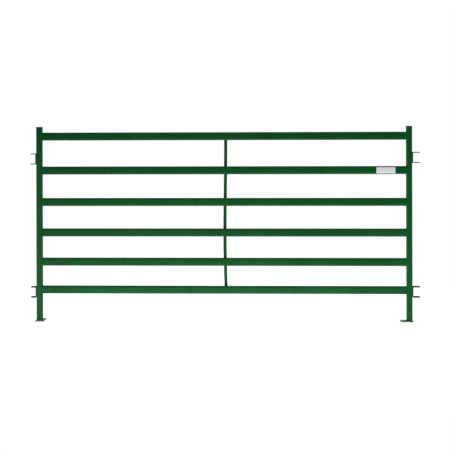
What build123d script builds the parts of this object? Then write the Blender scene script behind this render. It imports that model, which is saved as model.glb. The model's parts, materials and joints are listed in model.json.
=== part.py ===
from build123d import *
import os

os.makedirs("parts", exist_ok=True)

# A welded steel yard panel for cattle. All sizes are in millimetres.
# +X runs along the panel, +Z is up and the front faces -Y. The origin is on the ground,
# midway between the tips of the end lugs and at the middle of the posts' depth.

INCH = 25.4

# The whole panel
panel_length = 120 * INCH       # over the outer faces of the two posts
post_top = 62 * INCH            # ground to the cut top of a post

# Posts: square tube
post_width = 1.75 * INCH
post_wall = 2.1
post_corner = 5.0               # outer corner radius
post_bore = post_width - 2 * post_wall

# Rails: six flat-sided oval tubes, closer together towards the ground
rail_height = 65.0
rail_depth = 38.0
rail_wall = 1.65
bottom_rail_height = 252.0      # ground to the middle of the lowest rail
rail_pitches = {                # each rail's height above the rail under it
    "rail_5": 227.0,
    "rail_4": 238.0,
    "rail_3": 248.0,
    "rail_2": 257.0,
    "top_rail": 277.0,
}

# Centre stay: one flat bar up the back of the rails, slightly bowed
stay_width = 1 * INCH
stay_thickness = 0.25 * INCH
stay_offset = 19.6              # middle of the bar at the top rail, from mid-panel
stay_overlap = 22.0             # how far the bar runs past the middle of the end rails
stay_bow = {                    # sideways drift of the bar from its top
    "rail_2": -2.3,
    "rail_3": -5.6,
    "rail_4": -8.3,
    "rail_5": -5.8,
    "bottom_rail": 1.8,
}

# Lug brackets: flat bar bent to a U, with its open side away from the post
lug_thickness = 0.25 * INCH
lug_depth = 2 * INCH
lug_height = 3.5 * INCH         # over both legs
lug_bend = 4.0                  # inside bend radius
lug_tip = 20.0                  # corner radius of a leg's free end
pin_radius = 8.75               # hole for a 16 mm drop pin
lug_heights = {"upper": 1320.0, "lower": 235.5}
lug_stagger = lug_thickness + 1.0   # right brackets sit this much above the left ones
lug_reach = {"left": 50.0, "right": 64.0}       # from the post's outer face to the tips
pin_reach = {"left": 31.0, "right": 44.0}       # from the post's outer face to the pin

# Foot plates
foot_thickness = 0.25 * INCH
foot_overhang = 5.0             # past the post's outer face
foot_size = {"left": (70.0, 100.0), "right": (100.0, 70.0)}
foot_corner = 3.0

# Plastic caps pressed into the open tops of the posts
cap_width = 46.5
cap_thickness = 3.0
cap_skirt = 36.0
cap_wall = 1.6
cap_depth = 16.0
cap_fin_width = 40.0
cap_fin_thickness = 1.2
cap_fin_levels = (3.5, 7.5, 11.5)   # below the cut top of the post

# Reflective strip on the front of rail 2
strip_length = 152.4
strip_height = 50.8
strip_thickness = 0.5
strip_corner = 5.0
strip_offset = 167.0            # from the right post's inner face to the strip's middle

# Weld beads
weld_leg = 4.0
weld_root = 2.0                 # depth of the bead into the rounding of the post's corners
weld_taper = 38.0
bracket_weld_radius = 3.1
bracket_weld_length = 60.0
stay_weld_radius = 3.5
stay_weld_length = 22.0

# Places worked out from the sizes above
sides = {"left": -1, "right": 1}
mid_panel = (lug_reach["left"] - lug_reach["right"]) / 2
outer_face = {end: mid_panel + side * panel_length / 2 for end, side in sides.items()}
inner_face = {end: outer_face[end] - side * post_width for end, side in sides.items()}
post_centre = {end: outer_face[end] - side * post_width / 2 for end, side in sides.items()}
rail_length = inner_face["right"] - inner_face["left"]
rail_back = rail_depth / 2

rail_heights = {"bottom_rail": bottom_rail_height}
reached_height = bottom_rail_height
for rail_name, pitch in rail_pitches.items():
    reached_height += pitch
    rail_heights[rail_name] = reached_height


# Posts

posts = {}
for end in sides:
    with BuildPart() as post:
        with BuildSketch(Plane.XY.offset(foot_thickness)):
            with Locations((post_centre[end], 0)):
                RectangleRounded(post_width, post_width, post_corner)
                RectangleRounded(post_bore, post_bore, post_corner - post_wall, mode=Mode.SUBTRACT)
        extrude(amount=post_top - foot_thickness)
    post.part.label = f"{end}_post"
    export_step(post.part, f"parts/{end}_post.step")
    posts[end] = post.part


# Rails

for rail_name, height in rail_heights.items():
    with BuildPart() as rail:
        with BuildSketch(Plane.YZ.offset(inner_face["left"])):
            with Locations((0, height)):
                SlotOverall(rail_height, rail_depth, rotation=90)
                SlotOverall(
                    rail_height - 2 * rail_wall,
                    rail_depth - 2 * rail_wall,
                    rotation=90,
                    mode=Mode.SUBTRACT,
                )
        extrude(amount=rail_length)
    rail.part.label = rail_name
    export_step(rail.part, f"parts/{rail_name}.step")


# Centre stay

stay_bottom = rail_heights["bottom_rail"] - stay_overlap
stay_top = rail_heights["top_rail"] + stay_overlap
stay_axis = {"top_rail": mid_panel + stay_offset}
for rail_name, drift in stay_bow.items():
    stay_axis[rail_name] = mid_panel + stay_offset + drift


def stay_edge(side):
    """Points down one edge of the bar: its two ends and where it crosses the rails between."""
    ends = {"top_rail": stay_top, "bottom_rail": stay_bottom}
    points = []
    for crossing, middle in stay_axis.items():
        level = ends.get(crossing, rail_heights[crossing])
        points.append((middle + side * stay_width / 2, level))
    return points


with BuildPart() as centre_stay:
    with BuildSketch(Plane.XZ.offset(-rail_back)):
        with BuildLine():
            left_edge = Spline(*stay_edge(-1))
            right_edge = Spline(*stay_edge(1))
            Line(left_edge @ 0, right_edge @ 0)
            Line(left_edge @ 1, right_edge @ 1)
        make_face()
    extrude(amount=-stay_thickness)
centre_stay.part.label = "centre_stay"
export_step(centre_stay.part, "parts/centre_stay.step")


# Lug brackets

brackets = {}
for end, side in sides.items():
    for level, middle in lug_heights.items():
        bracket_name = f"{level}_{end}_lug"
        middle_height = middle + side * lug_stagger / 2
        reach = lug_reach[end]
        align_to_post = (Align.MIN if side > 0 else Align.MAX, Align.CENTER)
        with BuildPart() as bracket:
            with BuildSketch(Plane.XZ.offset(-lug_depth / 2)):
                with Locations((outer_face[end], middle_height)):
                    Rectangle(reach, lug_height, align=align_to_post)
            extrude(amount=lug_depth)
            back_corners = bracket.edges().filter_by(Axis.Y).group_by(Axis.X)[-1 if side < 0 else 0]
            fillet(back_corners, lug_bend + lug_thickness)
            with BuildSketch(Plane.XZ.offset(-lug_depth / 2)):
                with Locations((outer_face[end] + side * lug_thickness, middle_height)):
                    Rectangle(reach, lug_height - 2 * lug_thickness, align=align_to_post)
                inner_corners = vertices().group_by(Axis.X)[-1 if side < 0 else 0]
                fillet(inner_corners, lug_bend)
            extrude(amount=lug_depth, mode=Mode.SUBTRACT)
            tip_corners = bracket.edges().filter_by(Axis.Z).group_by(Axis.X)[0 if side < 0 else -1]
            fillet(tip_corners, lug_tip)
            with BuildSketch(Plane.XY.offset(middle_height - lug_height)):
                with Locations((outer_face[end] + side * pin_reach[end], 0)):
                    Circle(pin_radius)
            extrude(amount=2 * lug_height, mode=Mode.SUBTRACT)
        bracket.part.label = bracket_name
        export_step(bracket.part, f"parts/{bracket_name}.step")
        brackets[bracket_name] = bracket.part


# Foot plates

for end, side in sides.items():
    width, depth = foot_size[end]
    foot_centre = outer_face[end] + side * (foot_overhang - width / 2)
    with BuildPart() as foot:
        with BuildSketch():
            with Locations((foot_centre, 0)):
                RectangleRounded(width, depth, foot_corner)
        extrude(amount=foot_thickness)
    foot.part.label = f"{end}_foot_plate"
    export_step(foot.part, f"parts/{end}_foot_plate.step")


# Post caps: a flange on the tube's cut end, and a hollow skirt with fins inside it

for end in sides:
    with BuildPart() as cap:
        with BuildSketch(Plane.XY.offset(post_top)):
            with Locations((post_centre[end], 0)):
                RectangleRounded(cap_width, cap_width, post_corner + 1)
        extrude(amount=cap_thickness)
        fillet(cap.faces().sort_by(Axis.Z)[-1].edges(), 1.2)
        with BuildSketch(Plane.XY.offset(post_top)):
            with Locations((post_centre[end], 0)):
                RectangleRounded(cap_skirt, cap_skirt, 2)
        extrude(amount=-cap_depth)
        for fin_level in cap_fin_levels:
            with BuildSketch(Plane.XY.offset(post_top - fin_level)):
                with Locations((post_centre[end], 0)):
                    RectangleRounded(cap_fin_width, cap_fin_width, post_corner - post_wall)
            extrude(amount=-cap_fin_thickness)
        with BuildSketch(Plane.XY.offset(post_top)):
            with Locations((post_centre[end], 0)):
                Rectangle(cap_skirt - 2 * cap_wall, cap_skirt - 2 * cap_wall)
        extrude(amount=-cap_depth, mode=Mode.SUBTRACT)
    cap.part.label = f"{end}_post_cap"
    export_step(cap.part, f"parts/{end}_post_cap.step")


# Reflective strip, wrapped over the front of rail 2

strip_centre = inner_face["right"] - strip_offset
with BuildPart() as reflective_strip:
    with BuildSketch(Plane.YZ.offset(strip_centre - strip_length / 2)):
        with Locations((0, rail_heights["rail_2"])):
            SlotOverall(
                rail_height + 2 * strip_thickness,
                rail_depth + 2 * strip_thickness,
                rotation=90,
            )
            SlotOverall(rail_height, rail_depth, rotation=90, mode=Mode.SUBTRACT)
    extrude(amount=strip_length)
    with BuildSketch(Plane.XZ):
        with Locations((strip_centre, rail_heights["rail_2"])):
            RectangleRounded(strip_length, strip_height, strip_corner)
    extrude(amount=rail_depth, mode=Mode.INTERSECT)
reflective_strip.part.label = "reflective_strip"
export_step(reflective_strip.part, "parts/reflective_strip.step")


# Weld beads

for end, side in sides.items():
    root_plane = Plane(
        origin=(inner_face[end] + side * weld_root, 0, 0),
        x_dir=(0, -side, 0),
        z_dir=(-side, 0, 0),
    )
    with BuildPart() as rail_welds:
        with BuildSketch(root_plane):
            with Locations([(0, height) for height in rail_heights.values()]):
                SlotOverall(rail_height + 2 * weld_leg, rail_depth + 2 * weld_leg, rotation=90)
        extrude(amount=weld_leg + weld_root, taper=weld_taper)
        with BuildSketch(root_plane):
            with Locations([(0, height) for height in rail_heights.values()]):
                SlotOverall(rail_height, rail_depth, rotation=90)
        extrude(amount=weld_leg + weld_root, mode=Mode.SUBTRACT)
        add(posts[end], mode=Mode.SUBTRACT)
    rail_welds.part.label = f"{end}_rail_welds"
    export_step(rail_welds.part, f"parts/{end}_rail_welds.step")

with BuildPart() as lug_welds:
    for end, side in sides.items():
        for middle in lug_heights.values():
            weld_foot = middle + side * lug_stagger / 2 - bracket_weld_length / 2
            with BuildSketch(Plane.XY.offset(weld_foot)):
                with Locations(
                    (outer_face[end], -post_width / 2),
                    (outer_face[end], post_width / 2),
                ):
                    Circle(bracket_weld_radius)
            extrude(amount=bracket_weld_length)
    add(list(posts.values()), mode=Mode.SUBTRACT)
    add(list(brackets.values()), mode=Mode.SUBTRACT)
lug_welds.part.label = "lug_welds"
export_step(lug_welds.part, "parts/lug_welds.step")

with BuildPart() as stay_welds:
    for crossing, middle in stay_axis.items():
        with BuildSketch(Plane.XY.offset(rail_heights[crossing] - stay_weld_length / 2)):
            with Locations(
                (middle - stay_width / 2, rail_back),
                (middle + stay_width / 2, rail_back),
            ):
                Circle(stay_weld_radius)
            with Locations((middle, rail_back)):
                Rectangle(
                    2 * stay_width,
                    2 * stay_weld_radius,
                    align=(Align.CENTER, Align.MAX),
                    mode=Mode.SUBTRACT,
                )
        extrude(amount=stay_weld_length)
    add(centre_stay.part, mode=Mode.SUBTRACT)
stay_welds.part.label = "stay_welds"
export_step(stay_welds.part, "parts/stay_welds.step")

with BuildPart() as foot_welds:
    for end in sides:
        with BuildSketch(Plane.XY.offset(foot_thickness)):
            with Locations((post_centre[end], 0)):
                RectangleRounded(
                    post_width + 2 * weld_leg,
                    post_width + 2 * weld_leg,
                    post_corner + weld_leg,
                )
        extrude(amount=weld_leg, taper=weld_taper)
        with BuildSketch(Plane.XY.offset(foot_thickness)):
            with Locations((post_centre[end], 0)):
                RectangleRounded(post_width, post_width, post_corner)
        extrude(amount=weld_leg, mode=Mode.SUBTRACT)
foot_welds.part.label = "foot_welds"
export_step(foot_welds.part, "parts/foot_welds.step")
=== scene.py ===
import json
import math
import random

import bmesh
import bpy
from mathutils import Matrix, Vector
from mathutils.bvhtree import BVHTree


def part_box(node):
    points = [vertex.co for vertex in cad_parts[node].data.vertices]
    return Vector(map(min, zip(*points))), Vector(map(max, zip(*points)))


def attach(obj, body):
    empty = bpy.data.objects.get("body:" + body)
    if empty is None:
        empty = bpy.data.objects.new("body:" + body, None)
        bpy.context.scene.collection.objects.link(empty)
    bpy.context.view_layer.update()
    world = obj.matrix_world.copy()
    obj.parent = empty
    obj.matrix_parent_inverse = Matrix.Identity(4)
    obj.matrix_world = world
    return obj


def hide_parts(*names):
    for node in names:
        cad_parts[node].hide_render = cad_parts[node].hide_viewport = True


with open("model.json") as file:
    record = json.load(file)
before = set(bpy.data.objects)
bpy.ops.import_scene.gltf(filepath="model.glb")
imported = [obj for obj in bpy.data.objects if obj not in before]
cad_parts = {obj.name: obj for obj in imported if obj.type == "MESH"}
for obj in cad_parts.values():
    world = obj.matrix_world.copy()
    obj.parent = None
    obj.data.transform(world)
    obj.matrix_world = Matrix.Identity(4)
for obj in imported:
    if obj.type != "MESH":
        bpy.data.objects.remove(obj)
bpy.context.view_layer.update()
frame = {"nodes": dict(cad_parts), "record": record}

MM = 0.001
QUARTER = math.pi / 2

# Sizes that the boxes of the CAD nodes don't give, in metres
POST_CORNER = 5.0 * MM
RAIL_DEPTH = 38.0 * MM
LUG_THICKNESS = 6.35 * MM
LUG_BEND = 4.0 * MM             # inside radius of the bent corners
LUG_TIP = 20.0 * MM             # corner radius of the free ends
LUG_BEND_FACES = 8              # flat faces round a bent corner
FOOT_CORNER = 3.0 * MM
PLATE_EDGE = 0.7 * MM           # rounding of cut plate edges
SAME_POINT = 0.001 * MM         # points closer than this are merged
MILL_EDGE = 1.2 * MM            # rounding of the rolled edges of flat bar
MILL_END = 0.64 * MM            # what is left of it at the stay's cut ends
STAY_STATIONS = 90              # sections along the bowed stay

# Weld beads: their sizes in metres, and the ripples that the welding leaves on them
WELD_LEG = 4.2 * MM
STAY_WELD_LEG = 3.4 * MM
LUG_WELD_LENGTH = 62.0 * MM
LUG_WELD_COVER = 0.94           # share of the bracket's overhang that the bead covers
STAY_WELD_LENGTH = 22.0 * MM
WELD_ROOT = 0.6 * MM            # how far a bead reaches into the corner behind it
WELD_PITCH = 2.7 * MM           # from one ripple to the next
WELD_STEP = 0.5 * MM            # sampling along a bead
WELD_SECTION = 8                # faces across a bead
WELD_BLUNT = 0.02               # keeps the ends of open beads from closing to a point
WELD_FLATNESS = 1.35            # 1 gives a round section, and 2 a flat one
WELD_SWELL = 0.05               # slow change of size along the bead, as a share of it
WELD_CRESCENT = 0.45            # how far a ripple's middle is ahead of its ends, in ripples
WELD_RIPPLE = 0.16              # height of a ripple, as a share of the bead
WELD_RIPPLE_SUNK = 0.55         # share of a ripple's height that lies below the plain section

ENDS = {"left": -1, "right": 1}
LEVELS = ("upper", "lower")
RAILS = ("top_rail", "rail_2", "rail_3", "rail_4", "rail_5", "bottom_rail")
LUGS = {f"{level}_{end}_lug": side for level in LEVELS for end, side in ENDS.items()}

mounts = {mount["name"]: mount for mount in frame["record"]["mounts"]}
draw = random.Random(7)


def middle(node):
    low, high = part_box(node)
    return (low + high) / 2


# ---------------------------------------------------------------- materials


class Nodes:
    """A short way to write a material's node tree."""

    def __init__(self, name):
        self.material = bpy.data.materials.new(name)
        self.material.use_nodes = True
        self.tree = self.material.node_tree
        self.tree.nodes.clear()
        output = self.add("ShaderNodeOutputMaterial")
        self.shader = self.add("ShaderNodeBsdfPrincipled")
        self.link(self.shader.outputs[0], output.inputs["Surface"])
        coordinates = self.add("ShaderNodeTexCoord")
        self.place = coordinates.outputs["Object"]
        self.position = self.split(self.place)
        geometry = self.add("ShaderNodeNewGeometry")
        self.normal = geometry.outputs["Normal"]
        self.facing = self.split(self.normal)

    def add(self, kind, **settings):
        node = self.tree.nodes.new(kind)
        for key, value in settings.items():
            setattr(node, key, value)
        return node

    def link(self, out, socket):
        self.tree.links.new(out, socket)

    def feed(self, socket, value):
        if hasattr(value, "is_output"):
            self.link(value, socket)
        else:
            socket.default_value = value

    def surface(self, colour, roughness, normal):
        self.link(colour, self.shader.inputs["Base Color"])
        self.link(roughness, self.shader.inputs["Roughness"])
        self.link(normal, self.shader.inputs["Normal"])

    def split(self, vector):
        node = self.add("ShaderNodeSeparateXYZ")
        self.link(vector, node.inputs[0])
        return node.outputs

    def maths(self, operation, a, b, clamp=False):
        node = self.add("ShaderNodeMath", operation=operation, use_clamp=clamp)
        self.feed(node.inputs[0], a)
        self.feed(node.inputs[1], b)
        return node.outputs[0]

    def times(self, a, b):
        return self.maths("MULTIPLY", a, b)

    def plus(self, a, b, clamp=False):
        return self.maths("ADD", a, b, clamp)

    def noise(self, scale, detail=3.0, roughness=0.5):
        """Noise with features of about 1 / scale metres."""
        node = self.add("ShaderNodeTexNoise")
        node.inputs["Scale"].default_value = scale
        node.inputs["Detail"].default_value = detail
        node.inputs["Roughness"].default_value = roughness
        self.link(self.place, node.inputs["Vector"])
        return node.outputs[0]

    def cells(self, scale):
        node = self.add("ShaderNodeTexVoronoi", feature="F1")
        node.inputs["Scale"].default_value = scale
        self.link(self.place, node.inputs["Vector"])
        return node.outputs["Distance"]

    def ramp(self, value, low, high, to_low=0.0, to_high=1.0):
        """A smooth step from to_low, where value is low, to to_high, where value is high."""
        node = self.add("ShaderNodeMapRange", interpolation_type="SMOOTHSTEP")
        self.feed(node.inputs["Value"], value)
        node.inputs["From Min"].default_value = low
        node.inputs["From Max"].default_value = high
        node.inputs["To Min"].default_value = to_low
        node.inputs["To Max"].default_value = to_high
        return node.outputs[0]

    def mix(self, share, a, b):
        node = self.add("ShaderNodeMix", data_type="RGBA")
        self.feed(node.inputs["Factor"], share)
        self.feed(node.inputs[6], a)
        self.feed(node.inputs[7], b)
        return node.outputs[2]

    def bump(self, height, distance, strength, under=None):
        node = self.add("ShaderNodeBump")
        node.inputs["Distance"].default_value = distance
        node.inputs["Strength"].default_value = strength
        self.link(height, node.inputs["Height"])
        if under:
            self.link(under, node.inputs["Normal"])
        return node.outputs[0]


def rgb(red, green, blue):
    return (red, green, blue, 1.0)


def grey(value):
    return rgb(value, value, value)


COAT = rgb(0.0018, 0.094, 0.0195)
COAT_DEEP = rgb(0.0010, 0.081, 0.0155)
COAT_PALE = rgb(0.0060, 0.115, 0.030)
COAT_SPECULAR = 0.35
DUST = rgb(0.34, 0.30, 0.265)
# The foot plates' top colour is paler than dust alone: it is partly real dust and partly painted
# light on the tops.
FOOT_DUST_AND_PAINTED_LIGHT = rgb(0.70, 0.645, 0.60)
STEEL = rgb(0.30, 0.29, 0.28)
RUST = rgb(0.13, 0.045, 0.018)
PLASTIC_DEEP = rgb(0.008, 0.008, 0.009)
PLASTIC = rgb(0.016, 0.016, 0.017)
FILM_DEEP = rgb(0.90, 0.905, 0.915)
FILM = rgb(0.95, 0.952, 0.96)
FILM_SEAM = rgb(0.74, 0.76, 0.78)

SPLASH_HEIGHT = 0.22            # how far up the posts dried splash reaches, in metres
CHIP_WIDTH = 1.6 * MM           # how far from an edge the coat chips
FILM_CELL = 4.6 * MM            # side of a diamond of the reflective film


def coat_colour(n):
    drift = n.ramp(n.noise(2.4, detail=2.0), 0.35, 0.65)
    mottle = n.ramp(n.noise(38.0, detail=4.0, roughness=0.6), 0.5, 0.8, 0.0, 0.45)
    return n.mix(mottle, n.mix(drift, COAT_DEEP, COAT), COAT_PALE)


def lying_dust(n, amount):
    """How thick dust lies: only on what faces up, and unevenly."""
    lying = n.ramp(n.facing["Z"], 0.35, 0.95)
    settled = n.ramp(n.noise(22.0, detail=6.0, roughness=0.65), 0.25, 0.70, 0.15, 1.0)
    return n.times(n.times(lying, settled), amount)


def splash(n):
    """Specks of dried splash, denser towards the ground."""
    near_ground = n.ramp(n.position["Z"], SPLASH_HEIGHT, 0.0)
    spatter = n.plus(n.noise(170.0, detail=6.0, roughness=0.7), n.times(near_ground, 0.16))
    return n.times(n.times(n.ramp(spatter, 0.68, 0.76), near_ground), 0.14)


def orange_peel(n):
    peel = n.bump(n.noise(430.0, detail=2.0, roughness=0.4), 0.16 * MM, 0.5)
    return n.bump(n.noise(60.0, detail=2.0), 0.6 * MM, 0.35, under=peel)


def edge_chips(n, amount):
    """Where the coat is gone from an edge: there, the rounded normal leaves the true one."""
    rounded = n.add("ShaderNodeBevel", samples=4)
    rounded.inputs["Radius"].default_value = CHIP_WIDTH
    agree = n.add("ShaderNodeVectorMath", operation="DOT_PRODUCT")
    n.link(rounded.outputs[0], agree.inputs[0])
    n.link(n.normal, agree.inputs[1])
    edge = n.ramp(agree.outputs["Value"], 0.995, 0.90)
    patch = n.ramp(n.noise(140.0, detail=6.0, roughness=0.75), 0.50, 0.56)
    return n.times(n.times(edge, patch), amount)


def powder_coat(name, dust=0.10, dust_and_light_colour=DUST, chips=0.0, weld=False):
    """Satin green powder coat: orange peel, slow colour drift, dust lying on top, specks of dried
    splash near the ground, and chips down to steel on the edges of worked pieces. On the foot plates
    the pale colour on top is partly real dust and partly painted light."""
    n = Nodes(name)
    film = lying_dust(n, dust)
    # Upward faces take the top colour: dust, and on the foot plates painted light as well.
    colour = n.mix(film, coat_colour(n), dust_and_light_colour)
    colour = n.mix(splash(n), colour, DUST)
    roughness = n.ramp(n.noise(55.0, detail=4.0), 0.3, 0.7, 0.34, 0.44)
    roughness = n.plus(roughness, n.times(film, 0.45), clamp=True)
    normal = orange_peel(n)
    if weld:
        grains = n.ramp(n.cells(900.0), 0.25, 0.05)
        normal = n.bump(grains, 0.12 * MM, 0.5, under=normal)
    if chips:
        chip = edge_chips(n, chips)
        rusty = n.ramp(n.noise(260.0), 0.42, 0.60)
        colour = n.mix(chip, colour, n.mix(rusty, STEEL, RUST))
        roughness = n.plus(roughness, n.times(chip, 0.15), clamp=True)
    n.surface(colour, roughness, normal)
    n.shader.inputs["Specular IOR Level"].default_value = COAT_SPECULAR
    return n.material


def moulded_plastic():
    """Matte black polyethylene with a fine spark-eroded grain and a little dust."""
    n = Nodes("black_plastic")
    colour = n.mix(n.ramp(n.noise(160.0), 0.3, 0.7), PLASTIC_DEEP, PLASTIC)
    lying = n.ramp(n.facing["Z"], 0.6, 1.0)
    settled = n.ramp(n.noise(60.0, detail=5.0), 0.4, 0.8)
    colour = n.mix(n.times(n.times(lying, settled), 0.18), colour, DUST)
    roughness = n.ramp(n.noise(90.0), 0.3, 0.7, 0.48, 0.62)
    n.surface(colour, roughness, n.bump(n.noise(1400.0, detail=2.0), 0.08 * MM, 0.5))
    return n.material


def diamond_seams(n):
    """Distance to the nearest seam of a grid of diamonds on the XZ plane, as a share of a cell:
    slanting the grid turns its square cells into diamonds."""
    across = n.times(n.position["X"], 1.0 / FILM_CELL)
    up = n.times(n.position["Z"], 1.0 / FILM_CELL)
    row = n.times(up, 2.0 / math.sqrt(3.0))
    joined = n.add("ShaderNodeCombineXYZ")
    n.link(n.plus(across, n.times(row, 0.5)), joined.inputs[0])
    n.link(row, joined.inputs[1])
    cell = n.add("ShaderNodeTexVoronoi", feature="DISTANCE_TO_EDGE")
    cell.inputs["Scale"].default_value = 1.0
    cell.inputs["Randomness"].default_value = 0.0
    n.link(joined.outputs[0], cell.inputs["Vector"])
    return cell.outputs["Distance"]


def reflective_film():
    """White retroreflective tape: small diamonds with darker seams under a clear face."""
    n = Nodes("reflective_film")
    seam = n.ramp(diamond_seams(n), 0.03, 0.09)
    face = n.mix(n.ramp(n.noise(70.0), 0.3, 0.7), FILM_DEEP, FILM)
    roughness = n.ramp(n.noise(40.0), 0.3, 0.7, 0.22, 0.34)
    n.surface(n.mix(seam, FILM_SEAM, face), roughness, n.bump(seam, 0.06 * MM, 0.6))
    n.shader.inputs["Coat Weight"].default_value = 0.5
    n.shader.inputs["Coat Roughness"].default_value = 0.12
    return n.material


def pale_floor():
    """A floor that glows, so that it reads as white as the background."""
    n = Nodes("pale_floor")
    tone = n.ramp(n.noise(1.2, detail=2.0), 0.3, 0.7)
    n.link(n.mix(tone, grey(0.49), grey(0.51)), n.shader.inputs["Base Color"])
    n.shader.inputs["Roughness"].default_value = 0.9
    n.shader.inputs["Specular IOR Level"].default_value = 0.1
    n.shader.inputs["Emission Color"].default_value = grey(1.0)
    n.shader.inputs["Emission Strength"].default_value = 0.95
    return n.material


green = powder_coat("green_powder_coat")
chipped = powder_coat("green_chipped", chips=0.5)
weld_paint = powder_coat("green_over_weld", weld=True)
# The foot plates' coat: its pale tops are partly dust and partly painted light.
foot_coat_dust_and_painted_light = powder_coat("green_foot_dust_and_painted_light", dust=0.9, dust_and_light_colour=FOOT_DUST_AND_PAINTED_LIGHT, chips=0.5)
plastic = moulded_plastic()
reflective = reflective_film()


# ------------------------------------------------------------- mesh helpers

SHARP_ANGLE = 32.0              # degrees; flatter edges are shaded smooth


def to_mesh(shape, name):
    """The finished mesh, shaded smooth, with its faces outward."""
    bmesh.ops.recalc_face_normals(shape, faces=shape.faces)
    if shape.calc_volume(signed=True) < 0:
        bmesh.ops.reverse_faces(shape, faces=shape.faces)
    for face in shape.faces:
        face.smooth = True
    mesh = bpy.data.meshes.new(name)
    shape.to_mesh(mesh)
    shape.free()
    return mesh


def piece(name, shape, material, nodes):
    """A new piece that rides on the panel and stands for CAD nodes."""
    mesh = to_mesh(shape, name)
    mesh.set_sharp_from_angle(angle=math.radians(SHARP_ANGLE))
    mesh.materials.append(material)
    made = bpy.data.objects.new(name, mesh)
    bpy.context.collection.objects.link(made)
    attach(made, "root")
    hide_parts(*nodes)


def rounded_rectangle(width, depth, radius, steps):
    points = []
    for quarter in range(4):
        sx = 1 if quarter in (0, 3) else -1
        sy = 1 if quarter in (0, 1) else -1
        for step in range(steps + 1):
            angle = (quarter + step / steps) * QUARTER
            x = sx * (width / 2 - radius) + radius * math.cos(angle)
            y = sy * (depth / 2 - radius) + radius * math.sin(angle)
            points.append((x, y))
    return points


def circle(x, y, radius, steps=48):
    turns = (2 * math.pi * step / steps for step in range(steps))
    return [(x + radius * math.cos(turn), y + radius * math.sin(turn)) for turn in turns]


def plate(loops, thickness):
    """A flat plate with rounded edges: the first loop is its outline, the others are holes."""
    curve = bpy.data.curves.new("plate", "CURVE")
    curve.dimensions = "2D"
    curve.fill_mode = "BOTH"
    curve.extrude = thickness / 2 - PLATE_EDGE
    curve.bevel_depth = PLATE_EDGE
    curve.bevel_resolution = 2
    curve.offset = -PLATE_EDGE
    for points in loops:
        spline = curve.splines.new("POLY")
        spline.points.add(len(points) - 1)
        for target, (x, y) in zip(spline.points, points):
            target.co = (x, y, 0.0, 1.0)
        spline.use_cyclic_u = True
    holder = bpy.data.objects.new("plate", curve)
    mesh = bpy.data.meshes.new_from_object(holder)
    shape = bmesh.new()
    shape.from_mesh(mesh)
    bpy.data.objects.remove(holder)
    bpy.data.curves.remove(curve)
    bpy.data.meshes.remove(mesh)
    bmesh.ops.remove_doubles(shape, verts=shape.verts, dist=SAME_POINT)
    bmesh.ops.recalc_face_normals(shape, faces=shape.faces)
    return shape


def skin(shape, rings, closed):
    """Faces between rings of equally many points, with flat ends if they don't close."""
    pairs = list(zip(rings, rings[1:]))
    if closed:
        pairs.append((rings[-1], rings[0]))
    for one, two in pairs:
        for k in range(len(one)):
            after = (k + 1) % len(one)
            shape.faces.new((one[k], one[after], two[after], two[k]))
    if not closed:
        shape.faces.new(rings[0][::-1])
        shape.faces.new(rings[-1])


# ------------------------------------------------------------- lug brackets


def flat_bracket(length, depth, tip_to_pin, radius):
    """The bracket before bending: a bar with rounded ends and a pin hole near each."""
    loops = [rounded_rectangle(length, depth, LUG_TIP, steps=10)]
    for end in (-1, 1):
        loops.append(circle(end * (length / 2 - tip_to_pin), 0.0, radius))
    return plate(loops, LUG_THICKNESS)


def lug_bracket(name, side):
    """A flat bar bent to a U, with its back on the post and its legs the size of the node."""
    low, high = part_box(name)
    reach, depth, height = high - low
    bend = LUG_BEND + LUG_THICKNESS / 2
    arc = bend * QUARTER
    leg = reach - LUG_THICKNESS - LUG_BEND
    back = height - 2 * (LUG_THICKNESS + LUG_BEND)
    hole = mounts[f"{name}_top_hole"]
    wall_x = low.x if side > 0 else high.x
    tip_to_pin = reach - abs(hole["pos_m"][0] - wall_x)
    shape = flat_bracket(2 * (leg + arc) + back, depth, tip_to_pin, hole["dims"]["r_mm"] * MM)

    for end in (-1, 1):
        for cut in range(LUG_BEND_FACES + 1):
            bmesh.ops.bisect_plane(
                shape,
                geom=[*shape.verts, *shape.edges, *shape.faces],
                plane_co=(end * (back / 2 + arc * cut / LUG_BEND_FACES), 0, 0),
                plane_no=(1, 0, 0),
            )

    for vert in shape.verts:
        along, across, out = vert.co
        end = 1 if along > 0 else -1
        past = abs(along) - back / 2
        if past <= 0:
            x, z = LUG_THICKNESS / 2 + out, along
        elif past <= arc:
            turn = past / bend
            x = LUG_THICKNESS + LUG_BEND - (bend - out) * math.cos(turn)
            z = end * (back / 2 + (bend - out) * math.sin(turn))
        else:
            x = LUG_THICKNESS + LUG_BEND + past - arc
            z = end * (back / 2 + bend - out)
        vert.co = (wall_x + side * x, across, (low.z + high.z) / 2 + z)
    piece(f"{name}_plate", shape, chipped, [name])


for lug_name, lug_side in LUGS.items():
    lug_bracket(lug_name, lug_side)


# -------------------------------------------------------------- foot plates


def foot_plate(end):
    node = f"{end}_foot_plate"
    low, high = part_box(node)
    width, depth, thickness = high - low
    shape = plate([rounded_rectangle(width, depth, FOOT_CORNER, steps=5)], thickness)
    bmesh.ops.translate(shape, verts=shape.verts, vec=middle(node))
    # The plate's top carries painted light as well as dust.
    piece(f"{end}_foot", shape, foot_coat_dust_and_painted_light, [node])


for end_name in ENDS:
    foot_plate(end_name)


# -------------------------------------------------------------- centre stay

stay_low, stay_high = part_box("centre_stay")
stay_middle = middle("centre_stay")
stay_mesh = frame["nodes"]["centre_stay"].data
stay_tree = BVHTree.FromPolygons(
    [vert.co for vert in stay_mesh.vertices],
    [tuple(face.vertices) for face in stay_mesh.polygons],
)
BESIDE_STAY = 0.1               # well clear of the stay, to look at its edge from


def stay_edge(height, side):
    """Where the bowed stay's left or right edge is at a height."""
    beside = Vector((stay_middle.x + side * BESIDE_STAY, stay_middle.y, height))
    point, *_ = stay_tree.ray_cast(beside, Vector((-side, 0, 0)))
    return point.x


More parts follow.
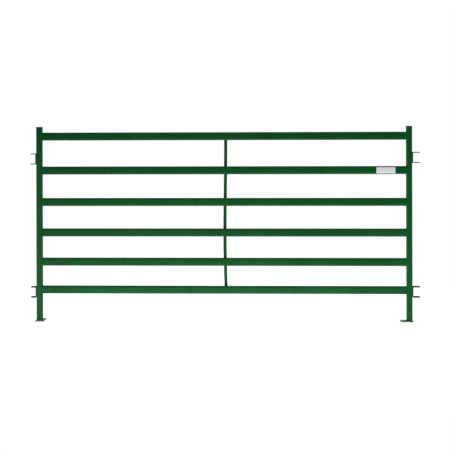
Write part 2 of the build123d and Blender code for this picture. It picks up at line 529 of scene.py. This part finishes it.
def centre_stay():
    """The flat bar, with its mill edges rounded, following the bow of the CAD bar."""
    shape = bmesh.new()
    depth = stay_high.y - stay_low.y
    bottom, top = stay_low.z, stay_high.z
    pitch = (top - bottom) / STAY_STATIONS
    between = [bottom + pitch * step for step in range(1, STAY_STATIONS)]
    heights = [bottom, bottom + PLATE_EDGE, *between, top - PLATE_EDGE, top]
    rings = []
    for height in heights:
        at_end = height in (bottom, top)
        beside = min(max(height, bottom + PLATE_EDGE), top - PLATE_EDGE)
        left, right = stay_edge(beside, -1), stay_edge(beside, 1)
        trim = 2 * PLATE_EDGE if at_end else 0.0
        corner = MILL_END if at_end else MILL_EDGE
        section = rounded_rectangle(right - left - trim, depth - trim, corner, steps=4)
        centre_x = (left + right) / 2
        rings.append([shape.verts.new((centre_x + x, stay_middle.y + y, height)) for x, y in section])
    skin(shape, rings, closed=False)
    piece("centre_stay_bar", shape, green, ["centre_stay"])


centre_stay()


# --------------------------------------------------------------- weld beads

POST_HALF = (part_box("left_post")[1].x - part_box("left_post")[0].x) / 2


class Route:
    """The line that a bead follows: called with a length along it, a route gives a point of the
    corner and the directions along the two surfaces that meet there."""

    def settle(self, place, angle):
        """Where a point of the bead's face ends up. Flat surfaces leave it where it is."""
        return place


class Straight(Route):
    """A route along a straight corner."""

    def __init__(self, start, along, length, a, b):
        self.start = Vector(start)
        self.along = Vector(along)
        self.length = length
        self.a = Vector(a)
        self.b = Vector(b)

    def __call__(self, s):
        return self.start + self.along * s, self.a, self.b


class Round(Route):
    """A route round a flat-sided shape with rounded corners, in the plane of right and up. The
    second surface stands along away."""

    def __init__(self, centre, right, up, away, half_width, half_height, corner):
        self.centre = Vector(centre)
        self.right = Vector(right)
        self.up = Vector(up)
        self.away = Vector(away)
        self.corner = corner
        self.arc = QUARTER * corner
        x = half_width - corner
        y = half_height - corner
        self.sides = (          # each side's length, and the centres of the corners at its ends
            (2 * y, (x, -y), (x, y)),
            (2 * x, (x, y), (-x, y)),
            (2 * y, (-x, y), (-x, -y)),
            (2 * x, (-x, -y), (x, -y)),
        )
        self.length = 4 * (x + y + self.arc)

    def __call__(self, s):
        side = 0
        while side < 3 and s > self.sides[side][0] + self.arc:
            s -= self.sides[side][0] + self.arc
            side += 1
        flat, start, pivot = self.sides[side]
        angle = side * QUARTER
        if s <= flat:
            x = start[0] - math.sin(angle) * s
            y = start[1] + math.cos(angle) * s
        else:
            x, y = pivot
            angle += (s - flat) / self.corner
        out = self.right * math.cos(angle) + self.up * math.sin(angle)
        place = self.centre + self.right * x + self.up * y + out * self.corner
        return place, out, self.away


class RailEnd(Round):
    """The corner between a rail's end and the post, which curves away at the post's edges."""

    def settle(self, place, angle):
        over = min(abs(place.y), POST_HALF) - (POST_HALF - POST_CORNER)
        if over > 0:
            drop = POST_CORNER - math.sqrt(max(0.0, POST_CORNER ** 2 - over ** 2))
            place = place - self.away * drop * math.cos(angle)
        return place


def bead(shape, route, closed, leg_a=WELD_LEG, leg_b=WELD_LEG):
    """One fillet bead along a route: rippled, slightly uneven, and run out at open ends."""
    count = max(4, round(route.length / WELD_STEP))
    ripples = round(route.length / WELD_PITCH)
    phase = draw.uniform(0, math.pi)
    swell = [draw.uniform(-1, 1) for _ in range(4)]
    rings = []
    for index in range(count if closed else count + 1):
        s = route.length * index / count
        point, a, b = route(s)
        turn = 2 * math.pi * index / count
        uneven = sum(w * math.sin((k + 2) * turn + w * 3) for k, w in enumerate(swell))
        size = 1.0 + WELD_SWELL * uneven
        if not closed:
            from_end = min(s, route.length - s) / WELD_LEG
            size *= math.sqrt(min(1.0, from_end + WELD_BLUNT))
        ring = []
        for step in range(WELD_SECTION + 1):
            angle = step / WELD_SECTION * QUARTER
            middle_share = math.sin(2 * angle)
            passed = ripples * s / route.length - WELD_CRESCENT * middle_share
            wave = abs(math.sin(math.pi * passed + phase)) - WELD_RIPPLE_SUNK
            grow = size * (1.0 + WELD_RIPPLE * middle_share * wave)
            out_a = leg_a * grow * math.cos(angle) ** WELD_FLATNESS
            out_b = leg_b * grow * math.sin(angle) ** WELD_FLATNESS
            ring.append(shape.verts.new(route.settle(point + a * out_a + b * out_b, angle)))
        ring.append(shape.verts.new(point - (a + b) * WELD_ROOT))
        rings.append(ring)
    skin(shape, rings, closed)


def weld_piece(name, shape, node):
    piece(name, shape, weld_paint, [node])


def rail_welds(end, side):
    shape = bmesh.new()
    for rail in RAILS:
        low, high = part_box(rail)
        route = RailEnd(
            centre=(high.x if side > 0 else low.x, 0, (low.z + high.z) / 2),
            right=(0, 1, 0),
            up=(0, 0, 1),
            away=(-side, 0, 0),
            half_width=RAIL_DEPTH / 2,
            half_height=(high.z - low.z) / 2,
            corner=RAIL_DEPTH / 2,
        )
        bead(shape, route, closed=True)
    weld_piece(f"{end}_rail_welds_beads", shape, f"{end}_rail_welds")


def lug_welds():
    shape = bmesh.new()
    for lug, side in LUGS.items():
        low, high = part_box(lug)
        for face in (-1, 1):
            route = Straight(
                start=(
                    low.x if side > 0 else high.x,
                    face * POST_HALF,
                    (low.z + high.z - LUG_WELD_LENGTH) / 2,
                ),
                along=(0, 0, 1),
                length=LUG_WELD_LENGTH,
                a=(0, face, 0),
                b=(-side, 0, 0),
            )
            bead(shape, route, closed=False, leg_a=(high.y - POST_HALF) * LUG_WELD_COVER)
    weld_piece("lug_weld_beads", shape, "lug_welds")


def stay_welds():
    shape = bmesh.new()
    for rail in RAILS:
        height = middle(rail).z
        for side in (-1, 1):
            route = Straight(
                start=(stay_edge(height, side), stay_low.y, height - STAY_WELD_LENGTH / 2),
                along=(0, 0, 1),
                length=STAY_WELD_LENGTH,
                a=(side, 0, 0),
                b=(0, 1, 0),
            )
            bead(shape, route, closed=False, leg_a=STAY_WELD_LEG, leg_b=STAY_WELD_LEG)
    weld_piece("stay_weld_beads", shape, "stay_welds")


def foot_welds():
    shape = bmesh.new()
    for end in ENDS:
        post = middle(f"{end}_post")
        route = Round(
            centre=(post.x, post.y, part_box(f"{end}_foot_plate")[1].z),
            right=(1, 0, 0),
            up=(0, 1, 0),
            away=(0, 0, 1),
            half_width=POST_HALF,
            half_height=POST_HALF,
            corner=POST_CORNER,
        )
        bead(shape, route, closed=True)
    weld_piece("foot_weld_beads", shape, "foot_welds")


for end_name, end_side in ENDS.items():
    rail_welds(end_name, end_side)
lug_welds()
stay_welds()
foot_welds()


# ------------------------------------------------- materials of the CAD nodes

finishes = {
    "left_post": green,
    "right_post": green,
    "left_post_cap": plastic,
    "right_post_cap": plastic,
    "reflective_strip": reflective,
    **{rail: green for rail in RAILS},
}
for node_name, material in finishes.items():
    node = frame["nodes"][node_name]
    node.data.materials.clear()
    node.data.materials.append(material)


# ------------------------------------------------------------ floor and sky

FLOOR_RADIUS = 2.6
FLOOR_SIDES = 96
SKY = rgb(0.96, 0.98, 1.0)
SKY_STRENGTH = 0.07


def floor_disk():
    ground = bmesh.new()
    bmesh.ops.create_circle(ground, cap_ends=True, radius=FLOOR_RADIUS, segments=FLOOR_SIDES)
    mesh = to_mesh(ground, "floor")
    mesh.materials.append(pale_floor())
    floor = bpy.data.objects.new("floor", mesh)
    bpy.context.collection.objects.link(floor)
    floor.visible_glossy = False


def studio():
    """A world that is white behind the panel but lights it only faintly."""
    world = bpy.data.worlds.new("studio")
    bpy.context.scene.world = world
    world.use_nodes = True
    nodes = world.node_tree.nodes
    links = world.node_tree.links
    nodes.clear()
    seen = nodes.new("ShaderNodeBackground")
    seen.inputs["Color"].default_value = grey(1.0)
    seen.inputs["Strength"].default_value = 1.0
    lit = nodes.new("ShaderNodeBackground")
    lit.inputs["Color"].default_value = SKY
    lit.inputs["Strength"].default_value = SKY_STRENGTH
    paths = nodes.new("ShaderNodeLightPath")
    either = nodes.new("ShaderNodeMixShader")
    output = nodes.new("ShaderNodeOutputWorld")
    links.new(paths.outputs["Is Camera Ray"], either.inputs[0])
    links.new(lit.outputs[0], either.inputs[1])
    links.new(seen.outputs[0], either.inputs[2])
    links.new(either.outputs[0], output.inputs[0])


floor_disk()
studio()


# ------------------------------------------------------------------- lights


def soft_box(name, place, aim, size, watts, spread, mirrored=False, shape="RECTANGLE"):
    """An area light, unseen by the camera, that shows in reflections only if mirrored. spread is
    its beam's angle in degrees."""
    light = bpy.data.lights.new(name, "AREA")
    light.shape = shape
    light.size, light.size_y = size
    light.energy = watts
    light.spread = math.radians(spread)
    box = bpy.data.objects.new(name, light)
    box.location = place
    box.rotation_euler = (Vector(aim) - Vector(place)).to_track_quat("-Z", "Y").to_euler()
    box.visible_camera = False
    box.visible_glossy = mirrored
    bpy.context.collection.objects.link(box)


GLOW_HEIGHT = 1 * MM            # above the floor
GLOW_STEP = 2 * MM              # glow lights that share a height lose light
WHOLE_FLOOR = (2 * FLOOR_RADIUS, 2 * FLOOR_RADIUS)
UNDER_PANEL = (2.6, 1.2)


def glow(name, height, size, watts):
    """Light that comes up off the floor."""
    soft_box(name, (0, 0, height), (0, 0, 1), size, watts, spread=180, shape="ELLIPSE")


soft_box(
    "front", place=(-4.3, -2.9, 0.6), aim=(2.6, 0, -1.1), size=(1.6, 1.2),
    watts=25.5, spread=80, mirrored=True,
)
soft_box(
    "end", place=(4.9, -1.7, 1.1), aim=(-1.8, 0, 0.5), size=(1.2, 1.2),
    watts=24, spread=90,
)
soft_box(
    "overhead", place=(0, 0, 4.0), aim=(0, 0, 0), size=(3.0, 2.0),
    watts=45, spread=160,
)
glow("floor_glow", GLOW_HEIGHT, WHOLE_FLOOR, watts=34)
glow("near_glow", GLOW_HEIGHT + GLOW_STEP, UNDER_PANEL, watts=9.5)
for side in (-1, 1):
    soft_box(
        "rear", place=(side * 4.3, 2.9, 1.0), aim=(side * -1.5, 0, 0.3), size=(1.6, 1.2),
        watts=30, spread=110,
    )


# ------------------------------------------------------------------- camera

lens = bpy.data.cameras.new("camera")
lens.sensor_width = 36.0
lens.lens = 67.07
lens.shift_x = -0.044
lens.shift_y = -0.2033
camera = bpy.data.objects.new("camera", lens)
camera.location = (0.342, -6.8, 1.52)
camera.rotation_euler = (math.radians(90), math.radians(0.149), math.radians(1.461))
bpy.context.collection.objects.link(camera)
bpy.context.scene.camera = camera
bpy.context.scene.view_settings.view_transform = "Standard"
